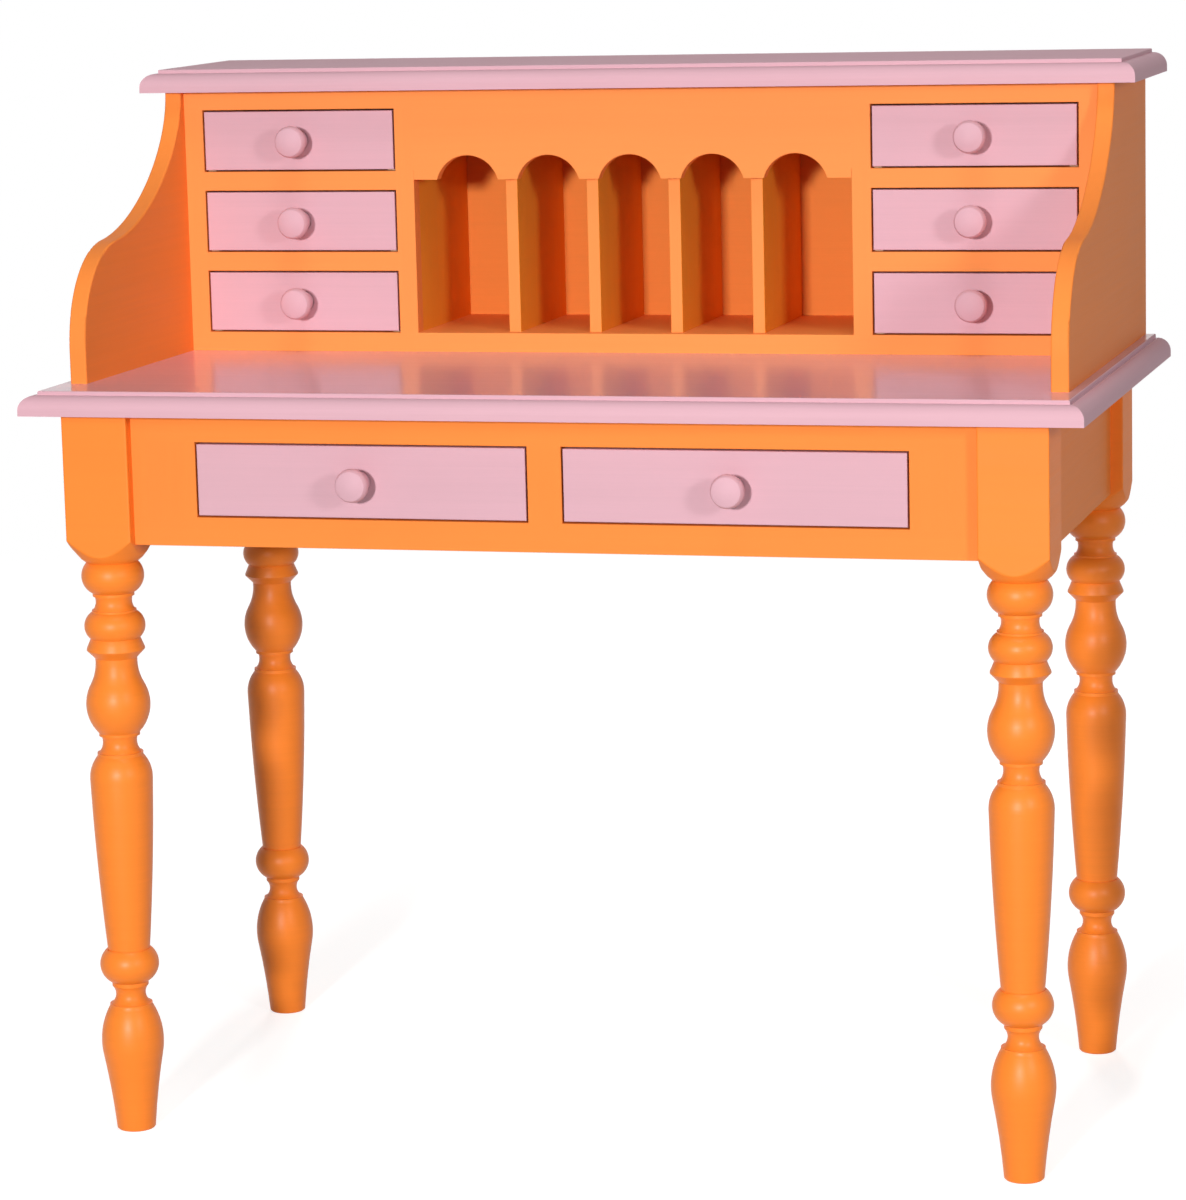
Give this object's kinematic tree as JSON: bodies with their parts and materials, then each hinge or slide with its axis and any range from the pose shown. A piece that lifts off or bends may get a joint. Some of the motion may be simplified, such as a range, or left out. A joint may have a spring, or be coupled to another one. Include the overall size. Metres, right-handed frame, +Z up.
{
  "type": "writing desk",
  "caption": "Painted writing desk on turned legs, with inset drawers, a moulded top and a low hutch of small drawers and arched pigeonholes between swept sides.",
  "frame": {"origin": "on the floor, under the centre of the desk top", "axes": "+Z up, -Y to the front where the sitter is, +X to the right as seen from the front"},
  "size_m": [1.08, 0.596, 1.082],
  "materials": {
    "orange_paint": "satin paint",
    "pink_paint": "satin paint",
    "bare_pine": "planed, unpainted",
    "plywood": "sanded, unpainted",
    "steel": "zinc plated"
  },
  "bodies": {
    "carcass": {"leg_front_right": "orange_paint", "leg_front_left": "orange_paint", "leg_rear_right": "orange_paint", "leg_rear_left": "orange_paint", "apron_front_rails": "orange_paint", "apron_front_stiles": "orange_paint", "apron_right": "orange_paint", "apron_left": "orange_paint", "apron_rear": "orange_paint", "desk_drawer_runners": "bare_pine", "desk_drawer_kickers": "bare_pine", "desk_top": "pink_paint", "desk_top_screws": "steel", "hutch_side_right": "orange_paint", "hutch_side_left": "orange_paint", "hutch_top": "pink_paint", "hutch_back": "orange_paint", "hutch_floor": "orange_paint", "hutch_partitions": "orange_paint", "pigeonhole_dividers": "orange_paint", "hutch_drawer_runners": "bare_pine", "hutch_dowels": "bare_pine", "hutch_screws": "steel", "hutch_top_rail": "orange_paint", "hutch_bottom_rail": "orange_paint", "hutch_stiles": "orange_paint", "hutch_drawer_rails": "orange_paint", "arched_valance": "orange_paint"},
    "desk_drawer_left": {"desk_drawer_left_front": "pink_paint", "desk_drawer_left_box": "bare_pine", "desk_drawer_left_bottom": "plywood", "desk_drawer_left_knob": "pink_paint"},
    "desk_drawer_right": {"desk_drawer_right_front": "pink_paint", "desk_drawer_right_box": "bare_pine", "desk_drawer_right_bottom": "plywood", "desk_drawer_right_knob": "pink_paint"},
    "hutch_drawer_left_top": {"hutch_drawer_left_top_front": "pink_paint", "hutch_drawer_left_top_box": "bare_pine", "hutch_drawer_left_top_bottom": "plywood", "hutch_drawer_left_top_knob": "pink_paint"},
    "hutch_drawer_left_middle": {"hutch_drawer_left_middle_front": "pink_paint", "hutch_drawer_left_middle_box": "bare_pine", "hutch_drawer_left_middle_bottom": "plywood", "hutch_drawer_left_middle_knob": "pink_paint"},
    "hutch_drawer_left_bottom": {"hutch_drawer_left_bottom_front": "pink_paint", "hutch_drawer_left_bottom_box": "bare_pine", "hutch_drawer_left_bottom_bottom": "plywood", "hutch_drawer_left_bottom_knob": "pink_paint"},
    "hutch_drawer_right_top": {"hutch_drawer_right_top_front": "pink_paint", "hutch_drawer_right_top_box": "bare_pine", "hutch_drawer_right_top_bottom": "plywood", "hutch_drawer_right_top_knob": "pink_paint"},
    "hutch_drawer_right_middle": {"hutch_drawer_right_middle_front": "pink_paint", "hutch_drawer_right_middle_box": "bare_pine", "hutch_drawer_right_middle_bottom": "plywood", "hutch_drawer_right_middle_knob": "pink_paint"},
    "hutch_drawer_right_bottom": {"hutch_drawer_right_bottom_front": "pink_paint", "hutch_drawer_right_bottom_box": "bare_pine", "hutch_drawer_right_bottom_bottom": "plywood", "hutch_drawer_right_bottom_knob": "pink_paint"}
  },
  "joints": [
    {"name": "desk_drawer_left_slide", "type": "slide", "parent": "carcass", "child": "desk_drawer_left", "axis": [0, -1, 0], "range_m": [0, 0.33]},
    {"name": "desk_drawer_right_slide", "type": "slide", "parent": "carcass", "child": "desk_drawer_right", "axis": [0, -1, 0], "range_m": [0, 0.33]},
    {"name": "hutch_drawer_left_top_slide", "type": "slide", "parent": "carcass", "child": "hutch_drawer_left_top", "axis": [0, -1, 0], "range_m": [0, 0.13]},
    {"name": "hutch_drawer_left_middle_slide", "type": "slide", "parent": "carcass", "child": "hutch_drawer_left_middle", "axis": [0, -1, 0], "range_m": [0, 0.13]},
    {"name": "hutch_drawer_left_bottom_slide", "type": "slide", "parent": "carcass", "child": "hutch_drawer_left_bottom", "axis": [0, -1, 0], "range_m": [0, 0.13]},
    {"name": "hutch_drawer_right_top_slide", "type": "slide", "parent": "carcass", "child": "hutch_drawer_right_top", "axis": [0, -1, 0], "range_m": [0, 0.13]},
    {"name": "hutch_drawer_right_middle_slide", "type": "slide", "parent": "carcass", "child": "hutch_drawer_right_middle", "axis": [0, -1, 0], "range_m": [0, 0.13]},
    {"name": "hutch_drawer_right_bottom_slide", "type": "slide", "parent": "carcass", "child": "hutch_drawer_right_bottom", "axis": [0, -1, 0], "range_m": [0, 0.13]}
  ]
}
